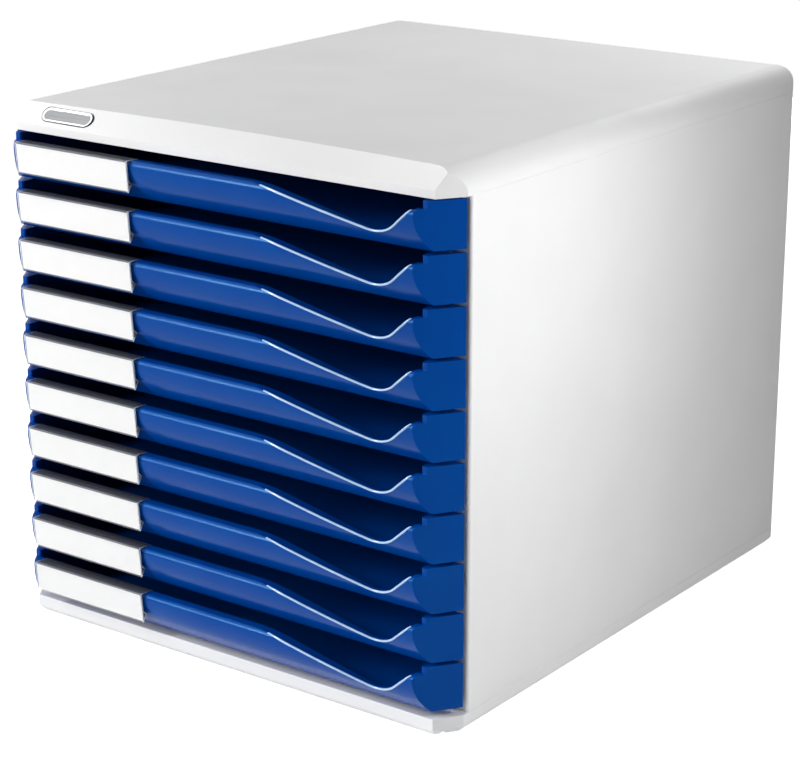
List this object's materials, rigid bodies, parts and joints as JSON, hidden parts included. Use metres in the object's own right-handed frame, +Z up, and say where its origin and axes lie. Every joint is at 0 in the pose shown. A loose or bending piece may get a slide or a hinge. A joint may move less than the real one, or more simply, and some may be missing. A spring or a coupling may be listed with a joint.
{
  "type": "desktop file cabinet",
  "caption": "Desktop file cabinet: pale plastic housing with shallow blue drawers that slide on runners, each with a finger cut-out and a clip-on label strip.",
  "frame": {"origin": "middle of the footprint, on the surface that the feet stand on", "axes": "+X to the right seen from the front, +Y to the rear, +Z up; the drawers pull out along -Y"},
  "size_m": [0.291, 0.352, 0.291],
  "materials": {
    "housing": "fine satin moulding texture",
    "drawer": "satin",
    "label_strip": "clear",
    "label_card": "plain card",
    "badge": "satin",
    "feet": "matt"
  },
  "bodies": {
    "housing": {"base_plate": "housing", "rubber_feet": "feet", "left_side_panel": "housing", "right_side_panel": "housing", "back_panel": "housing", "top_cover": "housing", "badge_plate": "badge"},
    "drawer_01_tray": {"drawer_01": "drawer", "label_holder_01": "label_strip", "label_card_01": "label_card"},
    "drawer_02_tray": {"drawer_02": "drawer", "label_holder_02": "label_strip", "label_card_02": "label_card"},
    "drawer_03_tray": {"drawer_03": "drawer", "label_holder_03": "label_strip", "label_card_03": "label_card"},
    "drawer_04_tray": {"drawer_04": "drawer", "label_holder_04": "label_strip", "label_card_04": "label_card"},
    "drawer_05_tray": {"drawer_05": "drawer", "label_holder_05": "label_strip", "label_card_05": "label_card"},
    "drawer_06_tray": {"drawer_06": "drawer", "label_holder_06": "label_strip", "label_card_06": "label_card"},
    "drawer_07_tray": {"drawer_07": "drawer", "label_holder_07": "label_strip", "label_card_07": "label_card"},
    "drawer_08_tray": {"drawer_08": "drawer", "label_holder_08": "label_strip", "label_card_08": "label_card"},
    "drawer_09_tray": {"drawer_09": "drawer", "label_holder_09": "label_strip", "label_card_09": "label_card"},
    "drawer_10_tray": {"drawer_10": "drawer", "label_holder_10": "label_strip", "label_card_10": "label_card"}
  },
  "joints": [
    {"name": "drawer_01_slide", "type": "slide", "parent": "housing", "child": "drawer_01_tray", "axis": [0, -1, 0], "range_m": [0, 0.27]},
    {"name": "drawer_02_slide", "type": "slide", "parent": "housing", "child": "drawer_02_tray", "axis": [0, -1, 0], "range_m": [0, 0.27]},
    {"name": "drawer_03_slide", "type": "slide", "parent": "housing", "child": "drawer_03_tray", "axis": [0, -1, 0], "range_m": [0, 0.27]},
    {"name": "drawer_04_slide", "type": "slide", "parent": "housing", "child": "drawer_04_tray", "axis": [0, -1, 0], "range_m": [0, 0.27]},
    {"name": "drawer_05_slide", "type": "slide", "parent": "housing", "child": "drawer_05_tray", "axis": [0, -1, 0], "range_m": [0, 0.27]},
    {"name": "drawer_06_slide", "type": "slide", "parent": "housing", "child": "drawer_06_tray", "axis": [0, -1, 0], "range_m": [0, 0.27]},
    {"name": "drawer_07_slide", "type": "slide", "parent": "housing", "child": "drawer_07_tray", "axis": [0, -1, 0], "range_m": [0, 0.27]},
    {"name": "drawer_08_slide", "type": "slide", "parent": "housing", "child": "drawer_08_tray", "axis": [0, -1, 0], "range_m": [0, 0.27]},
    {"name": "drawer_09_slide", "type": "slide", "parent": "housing", "child": "drawer_09_tray", "axis": [0, -1, 0], "range_m": [0, 0.27]},
    {"name": "drawer_10_slide", "type": "slide", "parent": "housing", "child": "drawer_10_tray", "axis": [0, -1, 0], "range_m": [0, 0.27]}
  ]
}
